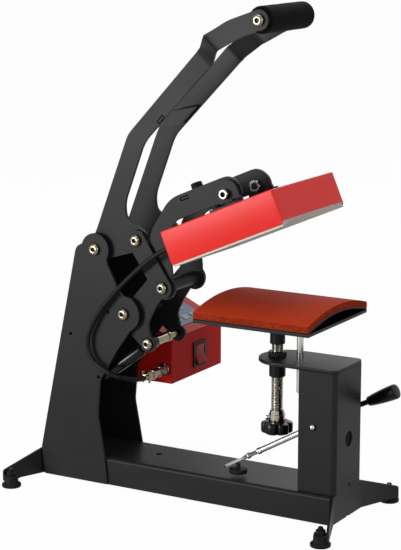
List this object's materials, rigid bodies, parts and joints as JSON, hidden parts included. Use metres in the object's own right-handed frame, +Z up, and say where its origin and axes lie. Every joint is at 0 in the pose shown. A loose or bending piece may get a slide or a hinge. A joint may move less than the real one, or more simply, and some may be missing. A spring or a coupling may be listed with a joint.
{
  "type": "cap heat press",
  "caption": "Clamshell press for caps: a toggle handle swings a curved heated plate down onto a curved, height-adjustable pad, with a control box at its side.",
  "frame": {"origin": "middle of the bounding box, on the floor under the feet", "axes": "+Z up, +Y from the operator at the front to the rear, +X to the operator's right, where the control box is"},
  "size_m": [0.2724, 0.47, 0.5987],
  "materials": {
    "black_powder_coat": "satin powder coat",
    "red_enamel": "satin enamel",
    "black_steel": "blackened",
    "nickel_plate": "polished nickel plate",
    "bright_steel": "turned and bright",
    "black_rubber": "moulded",
    "foam_rubber": "closed-cell foam",
    "silicone": "smooth sponge silicone",
    "cable_jacket": "satin sheath",
    "black_plastic": "moulded",
    "red_plastic": "translucent look, solid",
    "membrane_film": "satin film",
    "circuit_board": "coated board",
    "heated_aluminium": "machined and coated",
    "element_sheath": "heat-dulled",
    "insulation_fibre": "pressed fibre",
    "spring_tube": "gloss black",
    "spring_rod_chrome": "polished"
  },
  "bodies": {
    "frame": {"base_channel": "black_powder_coat", "column": "black_powder_coat", "column_top_plate": "black_powder_coat", "rear_bracket": "black_powder_coat", "side_panel_left": "black_powder_coat", "side_panel_right": "black_powder_coat", "back_panel": "black_powder_coat", "rubber_feet": "black_rubber", "foot_bolts": "black_steel", "pivot_bushes": "bright_steel", "pivot_bolts": "nickel_plate", "spindle_nut": "black_steel", "lock_ring": "black_steel", "gas_spring_bracket": "black_powder_coat", "control_box_shell": "red_enamel", "control_box_lid": "red_enamel", "control_membrane": "membrane_film", "switch_housing": "black_plastic", "mains_inlet": "black_plastic", "control_board": "circuit_board", "box_screws": "bright_steel", "heater_socket": "nickel_plate", "heater_plug": "nickel_plate", "heater_cable": "cable_jacket"},
    "handle": {"handle_arm_left": "black_powder_coat", "handle_arm_right": "black_powder_coat", "handle_cross_plate": "black_powder_coat", "handle_grip": "foam_rubber", "handle_tube": "bright_steel", "handle_bolts": "nickel_plate"},
    "carrier": {"carrier_plate_left": "black_powder_coat", "carrier_plate_right": "black_powder_coat", "carrier_cross_plate": "black_powder_coat", "carrier_stop_knob": "black_plastic", "carrier_tube": "black_powder_coat", "carrier_bolts": "nickel_plate", "shaft_sleeve": "nickel_plate"},
    "links": {"link_left": "black_powder_coat", "link_right": "black_powder_coat"},
    "heater": {"heater_cover": "red_enamel", "heater_lugs": "black_powder_coat", "heater_pivot_bolts": "bright_steel", "heater_screws": "bright_steel", "heated_plate": "heated_aluminium", "heating_element": "element_sheath", "insulation_board": "insulation_fibre", "cable_grommet": "black_rubber"},
    "spring_cylinder": {"gas_cylinder": "spring_tube"},
    "spring_rod": {"gas_rod": "spring_rod_chrome"},
    "platen": {"platen_plate": "black_powder_coat", "platen_arch": "black_powder_coat", "silicone_pad": "silicone", "platen_sleeve": "black_steel", "guide_rod": "bright_steel"},
    "spindle": {"spindle": "bright_steel", "star_knob": "black_plastic"},
    "lever": {"lever_arm": "bright_steel", "lever_grip": "black_plastic", "lever_pad": "black_rubber"},
    "rocker": {"switch_rocker": "red_plastic"}
  },
  "joints": [
    {"name": "handle_swing", "type": "hinge", "parent": "frame", "child": "handle", "pos_m": [-0.03215, 0.12701, 0.3005], "axis": [1, 0, 0], "range_deg": [0, 32.55]},
    {"name": "carrier_swing", "type": "hinge", "parent": "frame", "child": "carrier", "pos_m": [-0.03215, 0.08661, 0.225], "axis": [1, 0, 0], "range_deg": [0, 23.13]},
    {"name": "link_swing", "type": "hinge", "parent": "carrier", "child": "links", "pos_m": [-0.03215, 0.03401, 0.262], "axis": [1, 0, 0], "range_deg": [-35.7, 0]},
    {"name": "heater_level", "type": "hinge", "parent": "carrier", "child": "heater", "pos_m": [-0.03215, -0.05193, 0.38205], "axis": [1, 0, 0], "range_deg": [-2, 0]},
    {"name": "spring_swing", "type": "hinge", "parent": "carrier", "child": "spring_cylinder", "pos_m": [-0.03215, 0.05751, 0.19], "axis": [1, 0, 0], "range_deg": [-24.3, 0]},
    {"name": "spring_stroke", "type": "slide", "parent": "spring_cylinder", "child": "spring_rod", "axis": [0, 0.8065, -0.5912], "range_m": [-0.0182, 0]},
    {"name": "platen_height", "type": "slide", "parent": "frame", "child": "platen", "axis": [0, 0, 1], "range_m": [-0.008, 0.008]},
    {"name": "spindle_turn", "type": "hinge", "parent": "platen", "child": "spindle", "pos_m": [-0.03215, -0.09949, 0.1], "axis": [0, 0, 1], "range_deg": [-1440.5, 1440.5]},
    {"name": "lever_swing", "type": "hinge", "parent": "frame", "child": "lever", "pos_m": [-0.03215, -0.16498, 0.119], "axis": [1, 0, 0], "range_deg": [-2, 60]},
    {"name": "rocker_tip", "type": "hinge", "parent": "frame", "child": "rocker", "pos_m": [0.07935, 0.07501, 0.145], "axis": [1, 0, 0], "range_deg": [0, 14]}
  ],
  "couplings": [
    {"joint": "carrier_swing", "follows": "handle_swing", "ratio": 0.7105},
    {"joint": "link_swing", "follows": "handle_swing", "ratio": -1.0953},
    {"joint": "spring_swing", "follows": "handle_swing", "ratio": -0.7434},
    {"joint": "spring_stroke", "follows": "handle_swing", "m_per_rad": -0.03177},
    {"joint": "spindle_turn", "follows": "platen_height", "rad_per_m": 3141.6}
  ]
}
